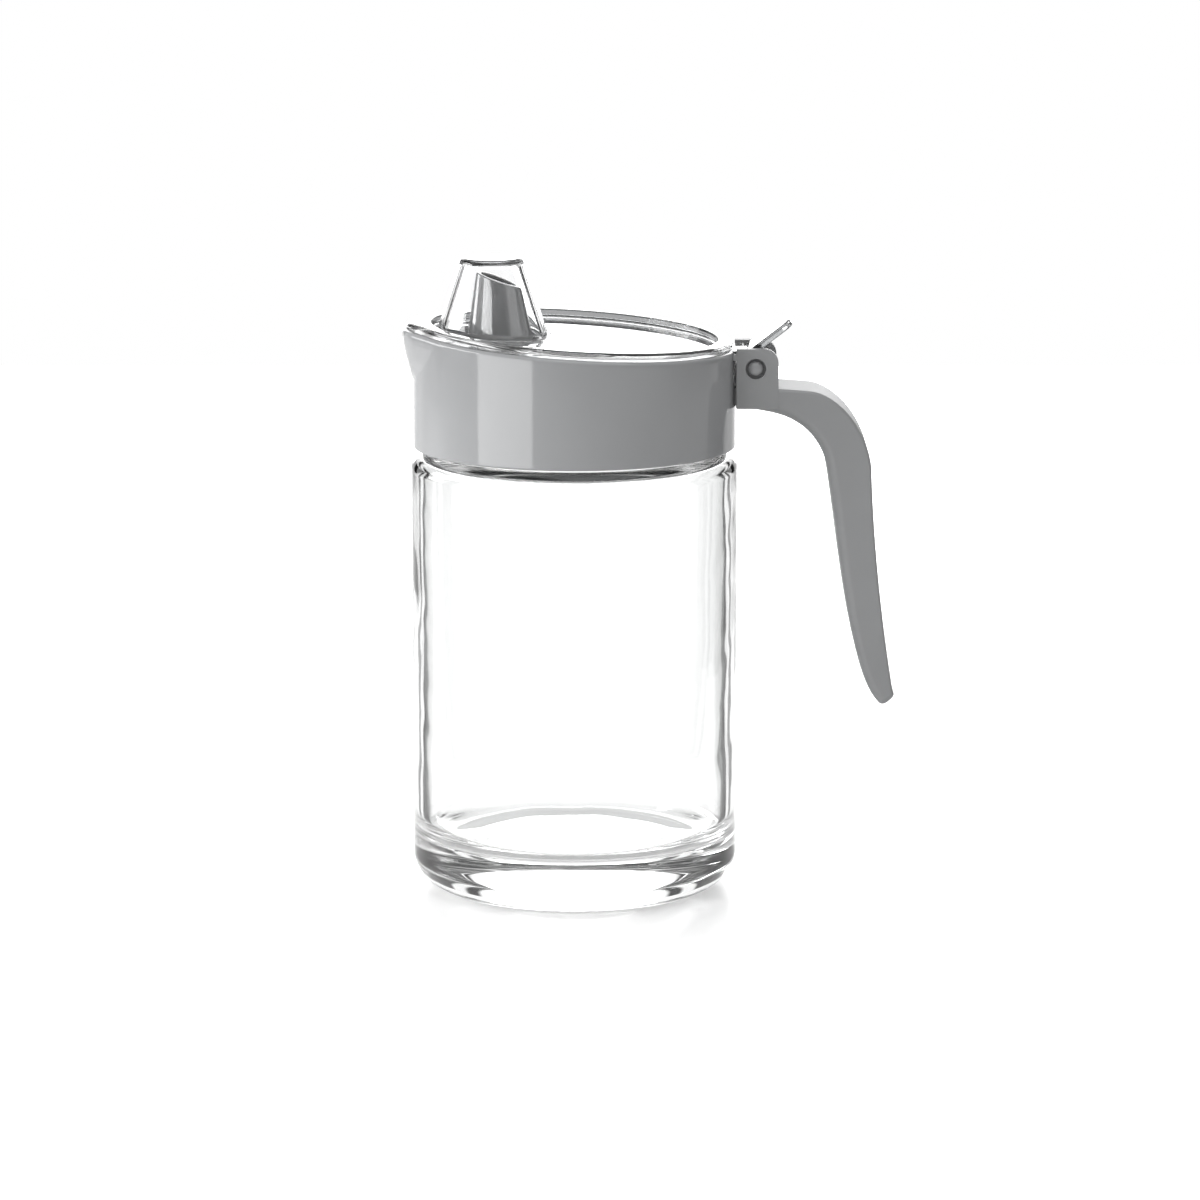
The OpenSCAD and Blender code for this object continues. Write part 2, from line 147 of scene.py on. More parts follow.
def chooseEdges(obj, wanted):
    # in edit mode: only the edges whose two ends pass the test, in millimetres, stay selected
    bpy.ops.mesh.select_all(action="DESELECT")
    bm = bmesh.from_edit_mesh(obj.data)
    chosen = [e for e in bm.edges if wanted(*[v.co / mm for v in e.verts])]
    for e in chosen:
        e.select = True
    bmesh.update_edit_mesh(obj.data)


def block(name, low, high):
    letGo()
    middle = [(a + b) / 2 * mm for a, b in zip(low, high)]
    bpy.ops.mesh.primitive_cube_add(size=1, location=middle)
    obj = bpy.context.object
    obj.name = name
    obj.scale = [(b - a) * mm for a, b in zip(low, high)]
    settled(obj)
    letGo()
    return obj


def rod(name, radius, ends, at, axis="Y", steps=128):
    # a cylinder between two ends along its axis; at gives its other two places
    letGo()
    middle = sum(ends) / 2
    place = {"X": (middle, at[0], at[1]), "Y": (at[0], middle, at[1]), "Z": (at[0], at[1], middle)}[axis]
    turn = {"X": (0, pi / 2, 0), "Y": (pi / 2, 0, 0), "Z": (0, 0, 0)}[axis]
    bpy.ops.mesh.primitive_cylinder_add(vertices=steps, radius=radius * mm,
        depth=(ends[1] - ends[0]) * mm, location=[c * mm for c in place], rotation=turn)
    obj = bpy.context.object
    obj.name = name
    settled(obj)
    letGo()
    return obj


def carve(obj, tool, how="DIFFERENCE"):
    # cuts the tool away from the piece, or joins the two, and deletes the tool
    pick(obj)
    cut = obj.modifiers.new("cut", "BOOLEAN")
    cut.operation = how
    cut.solver = "EXACT"
    cut.object = tool
    bpy.ops.object.modifier_apply(modifier=cut.name)
    bpy.data.objects.remove(tool)


def softened(obj, width, angle, segments):
    pick(obj)
    edge = obj.modifiers.new("edge", "BEVEL")
    edge.width = width * mm
    edge.segments = segments
    edge.limit_method = "ANGLE"
    edge.angle_limit = radians(angle)
    bpy.ops.object.modifier_apply(modifier=edge.name)


def finished(obj, body, node, material, angle=32, even=True):
    # the last steps of every piece: smooth shading, its material, and what it stands for in the frame
    pick(obj)
    bpy.ops.object.mode_set(mode="EDIT")
    bpy.ops.mesh.select_all(action="SELECT")
    bpy.ops.mesh.remove_doubles(threshold=tiny / 5)
    bpy.ops.object.mode_set(mode="OBJECT")
    bpy.ops.object.shade_smooth_by_angle(angle=radians(angle))
    if even:  # the big flat faces keep their own shading and the small rounded edges take the bend
        shading = obj.modifiers.new("shading", "WEIGHTED_NORMAL")
        shading.keep_sharp = True
        bpy.ops.object.modifier_apply(modifier=shading.name)
    obj.data.materials.clear()
    obj.data.materials.append(material)
    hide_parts(node)
    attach(obj, body)
    print("made", obj.name, len(obj.data.polygons), "faces")


# materials

def newMaterial(name):
    mat = bpy.data.materials.new(name)
    mat.use_nodes = True
    return mat, mat.node_tree.nodes, mat.node_tree.links, mat.node_tree.nodes["Principled BSDF"]


def grain(nodes, links, shader, size, strength, depth, rough=None):
    # fine moulded grain: noise on Object coordinates into bump, and into roughness between two values
    place = nodes.new("ShaderNodeTexCoord")
    noise = nodes.new("ShaderNodeTexNoise")
    noise.inputs["Scale"].default_value = size
    noise.inputs["Detail"].default_value = 4
    links.new(place.outputs["Object"], noise.inputs["Vector"])
    bump = nodes.new("ShaderNodeBump")
    bump.inputs["Strength"].default_value = strength
    bump.inputs["Distance"].default_value = depth
    links.new(noise.outputs["Fac"], bump.inputs["Height"])
    links.new(bump.outputs["Normal"], shader.inputs["Normal"])
    if rough:
        spread = nodes.new("ShaderNodeMapRange")
        spread.inputs["To Min"].default_value = rough[0]
        spread.inputs["To Max"].default_value = rough[1]
        links.new(noise.outputs["Fac"], spread.inputs["Value"])
        links.new(spread.outputs["Result"], shader.inputs["Roughness"])
    return place


def tinted(nodes, links, shader, place, size, dark, pale):
    # slow colour drift over the piece
    noise = nodes.new("ShaderNodeTexNoise")
    noise.inputs["Scale"].default_value = size
    links.new(place.outputs["Object"], noise.inputs["Vector"])
    ramp = nodes.new("ShaderNodeValToRGB")
    ramp.color_ramp.elements[0].color = (*dark, 1)
    ramp.color_ramp.elements[1].color = (*pale, 1)
    ramp.color_ramp.elements[0].position = 0.35
    ramp.color_ramp.elements[1].position = 0.65
    links.new(noise.outputs["Fac"], ramp.inputs["Fac"])
    links.new(ramp.outputs["Color"], shader.inputs["Base Color"])


def mathNode(nodes, links, operation, first, second=None):
    node = nodes.new("ShaderNodeMath")
    node.operation = operation
    for socket, value in zip(node.inputs, (first, second)):
        if isinstance(value, bpy.types.NodeSocket):
            links.new(value, socket)
        elif value is not None:
            socket.default_value = value
    return node.outputs["Value"]


def mixNode(nodes, links, factor, low, high):
    node = nodes.new("ShaderNodeMix")
    node.data_type = "RGBA"
    links.new(factor, node.inputs["Factor"])
    for name, value in (("A", low), ("B", high)):
        if isinstance(value, bpy.types.NodeSocket):
            links.new(value, node.inputs[name])
        else:
            node.inputs[name].default_value = (value, value, value, 1)
    return node.outputs["Result"]


# the painted outline shade begins at a part of the turn away from the eye, sooner by lift where a face is
# upright
paintedOutlineShade = {"blend": 0.5, "level": 0.6, "upright": 0.3, "lift": 0.1, "span": 0.06}


def paintOutlineShade(nodes, links, shader, body, edge, start):
    # painted shade: an upright clear wall seen edge on is a long way through, and its outline is darkened in
    # its colour for that and for the dark it shows
    tint = paintedOutlineShade
    weight = nodes.new("ShaderNodeLayerWeight")
    weight.inputs["Blend"].default_value = tint["blend"]
    place = nodes.new("ShaderNodeTexCoord")
    part = nodes.new("ShaderNodeSeparateXYZ")
    links.new(place.outputs["Normal"], part.inputs["Vector"])
    upright = nodes.new("ShaderNodeMapRange")
    upright.inputs["From Min"].default_value = tint["level"]
    upright.inputs["From Max"].default_value = tint["upright"]
    upright.inputs["To Max"].default_value = tint["lift"]
    links.new(mathNode(nodes, links, "ABSOLUTE", part.outputs["Z"]), upright.inputs["Value"])
    ramp = nodes.new("ShaderNodeValToRGB")
    ramp.color_ramp.elements[0].position = start
    ramp.color_ramp.elements[0].color = (*body, 1)
    ramp.color_ramp.elements[1].position = start + tint["span"]
    ramp.color_ramp.elements[1].color = (*edge, 1)
    seen = mathNode(nodes, links, "ADD", weight.outputs["Facing"], upright.outputs["Result"])
    links.new(seen, ramp.inputs["Fac"])
    # the outline's painted shade goes into the base colour
    links.new(ramp.outputs["Color"], shader.inputs["Base Color"])


# grain is the size, strength and depth in metres of the fine bumps, and rough the range of the roughness;
# drift is the size of the slow change between dark and pale, and bend the index of refraction
gloss = {"drift": 30, "grain": (900, 0.03, 0.00005), "rough": (0.07, 0.12), "bend": 1.52}
finishes = {
    "collarGrey": {**gloss, "dark": (0.270, 0.274, 0.279), "pale": (0.282, 0.287, 0.292)},
    "deckGrey": {**gloss, "dark": (0.185, 0.188, 0.191), "pale": (0.197, 0.2, 0.203)},
    "spoutGrey": {**gloss, "dark": (0.215, 0.218, 0.222), "pale": (0.228, 0.231, 0.235), "bend": 2.2},
    "pinGrey": {**gloss, "dark": (0.30, 0.304, 0.309), "pale": (0.314, 0.318, 0.323)},
    "handleGrey": {"dark": (0.262, 0.266, 0.270), "pale": (0.276, 0.280, 0.284), "drift": 24,
                   "grain": (2600, 0.16, 0.00006), "rough": (0.40, 0.52), "bend": 1.5},
    "rubberWhite": {"dark": (0.78, 0.78, 0.76), "pale": (0.82, 0.82, 0.80), "drift": 60,
                    "grain": (1500, 0.2, 0.00008), "rough": (0.5, 0.65), "bend": 1.5},
    "steel": {"dark": (0.60, 0.61, 0.62), "pale": (0.66, 0.67, 0.68), "drift": 200,
              "grain": (3000, 0.08, 0.00004), "rough": (0.22, 0.34), "bend": 1.5},
}
# body is the tint of what is clear, and edge the painted shade of its outline; the grain of the glass is its
# slight waves
clearFinishes = {
    "jarGlass": {"body": (0.995, 1.0, 0.998), "edge": (0.25, 0.27, 0.265), "edgeFrom": 0.94,
                 "grain": (38, 0.035, 0.0006), "roughness": 0, "bend": 1.5},
    "clearPlastic": {"body": (0.99, 0.994, 0.996), "edge": (0.10, 0.105, 0.11), "edgeFrom": 0.86,
                     "grain": (60, 0.02, 0.0003), "roughness": 0.012, "bend": 1.49},
    # the same plastic at its upright rims and rounded edges, with painted shade: the grey of the parts
    # below, seen through it, painted into its colour
    "clearEdgePaintedGrey": {"body": (0.13, 0.133, 0.135), "grain": (400, 0.05, 0.0001), "rough": (0.10, 0.16),
                  "bend": 1.49},
}


def solidFinish(name, metal=0):
    f = finishes[name]
    mat, nodes, links, shader = newMaterial(name)
    shader.inputs["Metallic"].default_value = metal
    shader.inputs["IOR"].default_value = f["bend"]
    place = grain(nodes, links, shader, *f["grain"], f["rough"])
    tinted(nodes, links, shader, place, f["drift"], f["dark"], f["pale"])
    return mat


def clearFinish(name):
    f = clearFinishes[name]
    mat, nodes, links, shader = newMaterial(name)
    shader.inputs["Transmission Weight"].default_value = 1
    shader.inputs["IOR"].default_value = f["bend"]
    if "edge" in f:
        # clear walls get their outline's painted shade
        paintOutlineShade(nodes, links, shader, f["body"], f["edge"], f["edgeFrom"])
        shader.inputs["Roughness"].default_value = f["roughness"]
        grain(nodes, links, shader, *f["grain"])
    else:
        # painted shade: the grey of the parts below is painted into this colour
        shader.inputs["Base Color"].default_value = (*f["body"], 1)
        grain(nodes, links, shader, *f["grain"], f["rough"])
    return mat


glass = clearFinish("jarGlass")
clear = clearFinish("clearPlastic")
paintedGreyRim = clearFinish("clearEdgePaintedGrey")
collarGrey = solidFinish("collarGrey")
deckGrey = solidFinish("deckGrey")
spoutGrey = solidFinish("spoutGrey")
pinGrey = solidFinish("pinGrey")
handleGrey = solidFinish("handleGrey")
rubberWhite = solidFinish("rubberWhite")
steel = solidFinish("steel", 1)
print("materials ready")


# shapes that several pieces share

head = {
    "rimZ": 157.3, "rimTilt": 3.6, "points": 288,
    # the pouring lip is part of a circle of radius lipR, centred lipC to the left of the axis
    "collarR": 45.7, "bore": 43.3, "lipR": 26.4, "lipReach": 2.8, "lipC": 22.1,
    "pinX": 50.9, "pinZ": 149.792, "knuckleR": 5.2, "leverW": 15.6, "earIn": 8.1, "earOut": 10.8,
    "rootX": 46.5, "rootTop": 144.242, "rootH": 5.8, "seat": 42.9, "screwZ": 141.342, "screwPitch": 10,
    "deckTop": 150.6, "gasketTop": 148.6, "neckTop": 147.1,
}
rimSlope = tan(radians(head["rimTilt"]))
atPin = (head["pinX"], head["pinZ"])


def rimAt(x):
    return head["rimZ"] - x * rimSlope


def around(count):
    return [2 * pi * i / count for i in range(count)]


def quarter(steps, first=0):
    # the angles of a quarter turn, from the first one wanted
    return [pi / 2 * k / steps for k in range(first, steps + 1)]


def lipped(r, s):
    # the collar's outline: a circle of radius r with a lip of radius s to the left
    out = []
    for a in around(head["points"]):
        if s - head["lipC"] * cos(a) > r:
            out.append((s * cos(a) - head["lipC"], s * sin(a)))
        else:
            out.append((r * cos(a), r * sin(a)))
    return out


def inLidPlane(x, y, z):
    # from the lid's own slanted plane to the frame of the object
    t = radians(head["rimTilt"])
    return (x * cos(t) + z * sin(t), y, head["rimZ"] - x * sin(t) + z * cos(t))


def between(low, high, steps):
    # the rings that lie between two others, in even steps
    return [[tuple(a + (b - a) * k / steps for a, b in zip(u, v)) for u, v in zip(low, high)]
            for k in range(1, steps)]


# jar

jarSize = {
    "radius": 46.2, "height": 125.5, "heel": 10, "shoulder": 5.5, "steps": 224, "turns": 10,
    # the inner wall leans a little: the glass gets thicker towards the floor
    "wallTop": 3.2, "wallLow": 4.2, "floor": 14, "floorCorner": 8, "shoulderInside": 1.8, "shoulderT": 3,
    "neckR": 39.6, "neckBore": 35.6, "neckRound": 0.8, "neckFoot": 0.5, "boreFoot": 2,
    "bead": 1.2, "beadRound": 0.9, "beadLow": 0.2, "beadHigh": 0.3,
    "dome": 5.5, "domeR": 30, "domePower": 3, "domeSteps": 16,
    "footLift": 0.2, "footRing": 1.2, "footRound": 0.8,
    "waveCuts": 54, "waveSize": 20, "waveDepth": 0.24, "waveEase": 8, "tallEdge": 60,
}


def makeJar():
    j = jarSize
    top, bead, lift = head["neckTop"], j["bead"], j["footLift"]
    beadLow, beadHigh = j["height"] + bead - j["beadLow"], j["height"] + 3 * bead
    ceiling = j["height"] - j["shoulderT"]
    shares = [k / j["domeSteps"] for k in range(j["domeSteps"])]
    dome = [(j["domeR"] * t, j["dome"] * (1 - t ** j["domePower"]) + lift, 0) for t in shares]
    profile = rounded(dome + [
        (j["domeR"], lift, 0), (j["domeR"] + j["footRing"], 0, j["footRound"]),
        (j["radius"], 0, j["heel"]), (j["radius"], j["height"], j["shoulder"]),
        (j["neckR"], j["height"], j["neckFoot"]), (j["neckR"], beadLow, j["beadLow"]),
        (j["neckR"] + bead, beadLow, j["beadRound"]), (j["neckR"] + bead, beadHigh, j["beadRound"]),
        (j["neckR"], beadHigh, j["beadHigh"]), (j["neckR"], top, j["neckRound"]),
        (j["neckBore"], top, j["neckRound"]), (j["neckBore"], ceiling, j["boreFoot"]),
        (j["radius"] - j["wallTop"], ceiling, j["shoulderInside"]),
        (j["radius"] - j["wallLow"], j["floor"], j["floorCorner"]), (0, j["floor"], 0)], turns=j["turns"])
    jar = turned("glassJar", profile, steps=j["steps"])
    # the inner wall of pressed glass is never quite true: it gets shallow waves
    nearest, furthest = j["radius"] - 6, j["radius"] - 2  # the inner wall lies between these radii
    pick(jar)
    bpy.ops.object.mode_set(mode="EDIT")
    chooseEdges(jar, lambda a, b: abs(a.z - b.z) > j["tallEdge"] and
                max(a.xy.length, b.xy.length) < furthest)
    bpy.ops.mesh.subdivide(number_cuts=j["waveCuts"])
    bpy.ops.object.mode_set(mode="OBJECT")
    low, high = j["floor"] + 1.5 * j["floorCorner"], j["height"] - 2 * j["shoulderT"]
    wavy = jar.vertex_groups.new(name="wavy")
    for v in jar.data.vertices:
        away = min(v.co.z / mm - low, high - v.co.z / mm)
        if nearest * mm < v.co.xy.length < furthest * mm and away > 0:
            wavy.add([v.index], min(away / j["waveEase"], 1), "REPLACE")
    cloud = bpy.data.textures.new("glassWaves", "CLOUDS")
    cloud.noise_scale = j["waveSize"] * mm
    waves = jar.modifiers.new("waves", "DISPLACE")
    waves.texture = cloud
    waves.texture_coords = "LOCAL"
    waves.vertex_group = wavy.name
    waves.strength = j["waveDepth"] * mm
    bpy.ops.object.modifier_apply(modifier=waves.name)
    jar.vertex_groups.clear()
    finished(jar, "jar", "jar", glass, 50, even=False)


makeJar()


# collar

collarSize = {
    "foot": 126.6, "flareZ": 143.9, "flareRings": 18, "ease": 0.85, "round": 1.15, "innerRound": 0.35,
    "ledge": 1.44, "ledgeT": 1.5, "ledgeInto": 1.2, "ledgeHigh": 0.4, "ledgeLow": 0.3,
    "bossW": 15.0, "bossUp": 0.8, "bossDown": 0.35, "notchZ": 152.392, "turnR": 5.55,
    "screwR": 1.5, "headR": 2.5, "holeFrom": 20,
}


def makeCollar():
    c = collarSize
    r, s, reach, inside = head["collarR"], head["lipR"], head["lipReach"], head["bore"]
    foot, edge, soft = c["foot"], c["round"] / 2, c["innerRound"]
    bore = [(inside * cos(a), inside * sin(a)) for a in around(head["points"])]

    def boreRing(grow, heightAt):
        return [(x * (1 + grow / inside), y * (1 + grow / inside), heightAt(x)) for x, y in bore]

    rings = []
    for a in quarter(3):  # lower edge
        d = edge * (1 - sin(a))
        rings.append([(x, y, foot + edge * (1 - cos(a))) for x, y in lipped(r - d, s - reach - d)])
    rings.append([(x, y, c["flareZ"]) for x, y in lipped(r, s - reach)])
    for k in range(1, c["flareRings"] + 1):
        t = k / c["flareRings"]
        f = (1 - cos(pi * t ** c["ease"])) / 2
        rings.append([(x, y, c["flareZ"] + (rimAt(x) - c["round"] - c["flareZ"]) * t)
                      for x, y in lipped(r, s - reach * (1 - f))])
    for a in quarter(6, 1):  # rounded rim
        d = c["round"] * (1 - cos(a))
        rings.append([(x, y, rimAt(x) - c["round"] * (1 - sin(a))) for x, y in lipped(r - d, s - d)])
    for a in quarter(4):  # inner edge of the rim
        rings.append(boreRing(soft * (1 - sin(a)), lambda x: rimAt(x) - soft * (1 - cos(a))))
    rings.append(boreRing(0, lambda x: foot + edge))
    for a in quarter(3, 1):  # lower edge again, from inside
        rings.append(boreRing(edge * (1 - cos(a)), lambda x: foot + edge * (1 - sin(a))))
    rings.append(rings[0])
    collar = ringed("pouringCollar", rings, loop=True)
    into, out, low = inside + c["ledgeInto"], inside - c["ledge"], head["deckTop"]
    ledge = turned("ledge", rounded([
        (into, low, 0), (into, low + c["ledgeT"], 0), (out, low + c["ledgeT"], c["ledgeHigh"]),
        (out, low, c["ledgeLow"]), (into, low, 0)], turns=4), steps=head["points"])
    carve(collar, ledge, "UNION")
    half, gap = c["bossW"] / 2, head["earIn"]
    carve(collar, block("boss", (head["seat"], -half, head["rootTop"] - head["rootH"] + c["bossUp"]),
                        (head["rootX"], half, head["rootTop"] - c["bossDown"])), "UNION")
    carve(collar, block("notch", (inside / 2, -gap, c["notchZ"]), (head["pinX"], gap, head["rimZ"] + 1)))
    carve(collar, rod("knuckleRoom", c["turnR"], (-gap, gap), atPin))
    for side in (-1, 1):
        at = (side * head["screwPitch"] / 2, head["screwZ"])
        carve(collar, rod("shankHole", c["screwR"], (c["holeFrom"], head["rootX"] + 1), at, "X", 48))
        carve(collar, rod("headRoom", c["headR"], (c["holeFrom"], head["seat"]), at, "X", 48))
    finished(collar, "head", "collar", collarGrey)


makeCollar()


# deck, gasket and spout

deckSize = {
    "r": 43.2, "skirtBore": 41.6, "skirtFoot": 130.24, "innerRound": 0.5, "footRound": 0.4, "topRound": 0.3,
    "wellR": 14.96, "wellT": 1.44, "wellFloor": 144.5, "wellRound": 1.2, "wellRim": 0.6, "wellFlare": 1.4,
    "cupRound": 1.6, "cupTop": 0.4, "spoutX": 18.1, "spigotR": 10.0, "spigotRoom": 0.1,
    "drainX": 31.28, "drainR": 1.2, "wellHoles": (138, 150),
    "ventX": 21.6, "ventR": 1.5, "ventHole": (140, 155), "windowH": 6.72, "windowW": 16.72,
}


def makeDeck():
    d = deckSize
    under, top, foot = head["gasketTop"], head["deckTop"], d["skirtFoot"]
    floorZ, cupR, at = d["wellFloor"], d["wellR"] + d["wellT"], (-d["spoutX"], 0)
    deck = turned("pourDeck", rounded([
        (0, under, 0), (d["skirtBore"], under, d["innerRound"]), (d["skirtBore"], foot, d["footRound"]),
        (d["r"], foot, d["footRound"]), (d["r"], top, d["topRound"]), (0, top, 0)], turns=5), steps=224)
    cup = turned("cup", rounded([
        (0, floorZ - d["wellT"], 0), (cupR, floorZ - d["wellT"], d["cupRound"]),
        (cupR, top - d["cupTop"], 0), (0, top - d["cupTop"], 0)]), at, 160)
    carve(deck, cup, "UNION")
    well = turned("well", rounded([
        (0, floorZ, 0), (d["wellR"], floorZ, d["wellRound"]), (d["wellR"], top - 0.01, d["wellRim"]),
        (d["wellR"] + d["wellFlare"], top, 0), (d["wellR"] + d["wellFlare"], top + 2, 0), (0, top + 2, 0)]),
        at, 160)
    carve(deck, well)
    carve(deck, rod("spigotHole", d["spigotR"] + d["spigotRoom"], d["wellHoles"], at, "Z", 160))
    carve(deck, rod("drain", d["drainR"], d["wellHoles"], (-d["drainX"], 0), "Z", 48))
    carve(deck, rod("vent", d["ventR"], d["ventHole"], (d["ventX"], 0), "Z", 48))
    carve(deck, block("window", (d["skirtBore"] - 1, -d["windowW"] / 2, head["screwZ"] - d["windowH"] / 2),
                      (d["r"] + 1, d["windowW"] / 2, head["screwZ"] + d["windowH"] / 2)))
    finished(deck, "head", "pour_deck", deckGrey)


gasketSize = {"room": 0.2, "round": 0.3}


def makeGasket():
    low, high, soft = head["neckTop"], head["gasketTop"], gasketSize["round"]
    inner, outer = jarSize["neckBore"] + gasketSize["room"], deckSize["skirtBore"] - gasketSize["room"]
    gasket = turned("neckSeal", rounded([
        (inner, low, soft), (outer, low, soft), (outer, high, soft), (inner, high, soft)], turns=4)
        + [(inner, low + soft)])
    finished(gasket, "gasket", "neck_gasket", rubberWhite)


spoutSize = {
    "r": 11.4, "footEdge": 0.2, "easeFrom": 0.6, "easeH": 9, "coneR": 10.65, "tipR": 5.79, "footH": 5.4,
    "height": 31.5, "lowShift": 2.48, "tipShift": 3.64, "cut": 20,
    "wall": 1.4, "spigot": 2.84, "lipRound": 0.45, "points": 128,
}


def makeSpout():
    p = spoutSize
    turns = around(p["points"])
    cut = tan(radians(p["cut"]))
    lip, wall, sink = p["lipRound"], p["wall"], -p["spigot"]

    def across(h, inset):
        # radius of the leaning cone and its shift to the left at a height above the floor of the well
        t = (h - p["footH"]) / (p["height"] - p["footH"])
        r = p["coneR"] + (p["tipR"] - p["coneR"]) * t - inset
        return r, -p["lowShift"] - (p["tipShift"] - p["lowShift"]) * t

    def level(r, h, shift=0.0):
        return [(shift + r * cos(a), r * sin(a), h) for a in turns]

    def mouth(inset, drop):
        # ring of the cone where the slanted mouth cuts it, found by going back and forth a few times
        out = []
        for a in turns:
            h = p["height"]
            for _ in range(12):
                r, shift = across(h, inset)
                x = shift + r * cos(a)
                h = p["height"] - (x + p["tipShift"] + p["tipR"]) * cut - drop
            out.append((x, r * sin(a), h))
        return out

    def eased(radius, inset, steps=10):
        # rings from the round foot up into the leaning cone
        out = []
        for k in range(steps + 1):
            t = k / steps
            soft = t * t * (3 - 2 * t)
            h = p["easeFrom"] + (p["easeH"] - p["easeFrom"]) * t
            r, shift = across(h, inset)
            out.append(level(radius + (r - radius) * soft, h, shift * soft))
        return out

    outer = eased(p["r"], 0)
    inner = eased(p["r"] - 2 * wall, wall)[::-1]
    ends = [mouth(lip * (1 - cos(a)), lip * (1 - sin(a))) for a in quarter(4)]
    back = [mouth(wall - lip * (1 - cos(a)), lip * (1 - sin(a))) for a in quarter(4)[::-1]]
    rings = [level(p["r"] - wall, sink), level(p["r"] - wall, 0)]
    rings += [level(p["r"] - p["footEdge"], 0), level(p["r"], p["footEdge"])]
    rings += outer + between(outer[-1], ends[0], 9) + ends + back + between(back[-1], inner[0], 9) + inner
    rings += [level(p["r"] - 2 * wall, sink), rings[0]]
    rings = [[(x - deckSize["spoutX"], y, z + deckSize["wellFloor"]) for x, y, z in ring] for ring in rings]
    spout = ringed("pourSpout", rings, loop=True)
    finished(spout, "head", "spout", spoutGrey, 45)


makeDeck()
makeGasket()
makeSpout()


# clear lid

lidSize = {
    "inset": 0.95, "gap": 0.15, "borderH": 2.2, "edge": 1.9, "panel": 1.8, "dishR": 42.1, "soft": 0.3,
    "recessR": 40.55, "recessFold": 0.5, "footEdge": 0.1,
    "capX": 23.2, "capFoot": 159.581, "capTop": 180, "capTopR": 8.7, "capBaseR": 15.4, "capPoints": 192,
    "capWall": 1.85, "capTopT": 2, "capEdge": 1.0, "capInner": 0.8, "capSink": 0.9,
    "fillet": 1.6, "filletTurns": (12, 24, 36, 48, 60, 75, 90), "pinBore": 1.55,
    "neckLow": 152.892, "neckUp": 154.472, "neckInto": 0.4,
    "leverT": 2, "leverL": 15.6, "leverDown": 0.15, "leverCorner": 3, "leverEdge": 0.5, "rise": 37.5,
    # which faces get the painted grey: how near the recess wall, how steep or flat they may be, and how thin
    "wallNear": 0.7, "steep": 0.8, "flat": 0.97, "thin": 0.35,
}


